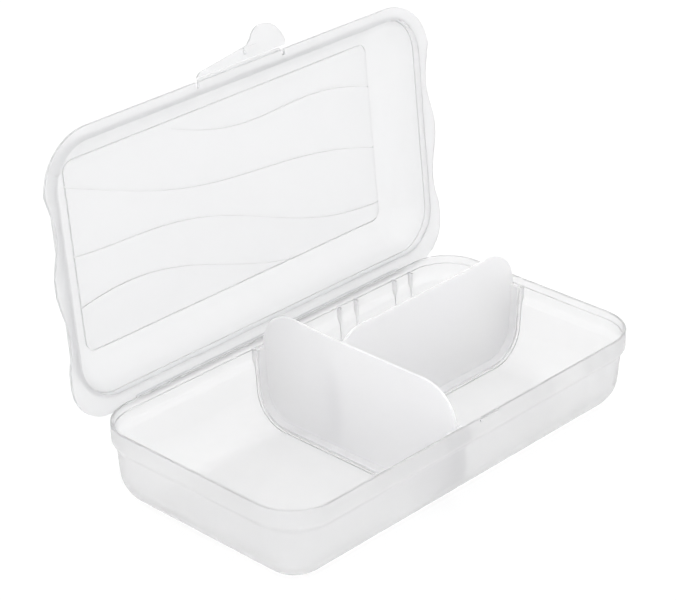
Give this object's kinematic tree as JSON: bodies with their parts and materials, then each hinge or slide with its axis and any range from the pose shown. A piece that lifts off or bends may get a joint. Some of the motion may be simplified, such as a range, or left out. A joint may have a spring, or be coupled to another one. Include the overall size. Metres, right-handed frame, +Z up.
{
  "type": "hinged divider box",
  "caption": "Shallow translucent storage box with a hinged domed lid, a snap latch flap and lift-out dividers that make compartments.",
  "frame": {"origin": "centre of the tray's flat underside, which the box rests on", "axes": "+X along the long side, -Y towards the latch side, +Y towards the hinge, +Z up. The rest pose has the lid standing open."},
  "size_m": [0.1974, 0.1302, 0.148],
  "materials": {
    "tray_pp": "satin translucent polypropylene",
    "lid_pp": "smooth translucent polypropylene",
    "web_pp": "flexed translucent polypropylene",
    "divider_pp": "frosted translucent polypropylene"
  },
  "bodies": {
    "tray": {"tray": "tray_pp"},
    "lid": {"lid": "lid_pp", "hinge_web": "web_pp", "latch_web": "web_pp"},
    "latch": {"latch": "lid_pp"},
    "cross_divider": {"cross_divider": "divider_pp"},
    "long_divider": {"long_divider": "divider_pp"}
  },
  "joints": [
    {"name": "lid_hinge", "type": "hinge", "parent": "tray", "child": "lid", "pos_m": [0, 0.0524, 0.03225], "axis": [1, 0, 0], "range_deg": [-49, 95.75]},
    {"name": "latch_hinge", "type": "hinge", "parent": "lid", "child": "latch", "pos_m": [0, 0.06526, 0.13799], "axis": [1, 0, 0], "range_deg": [-10, 110]},
    {"name": "cross_divider_lift", "type": "slide", "parent": "tray", "child": "cross_divider", "axis": [0, 0, 1], "range_m": [0, 0.08]},
    {"name": "long_divider_lift", "type": "slide", "parent": "tray", "child": "long_divider", "axis": [0, 0, 1], "range_m": [0, 0.08]}
  ]
}
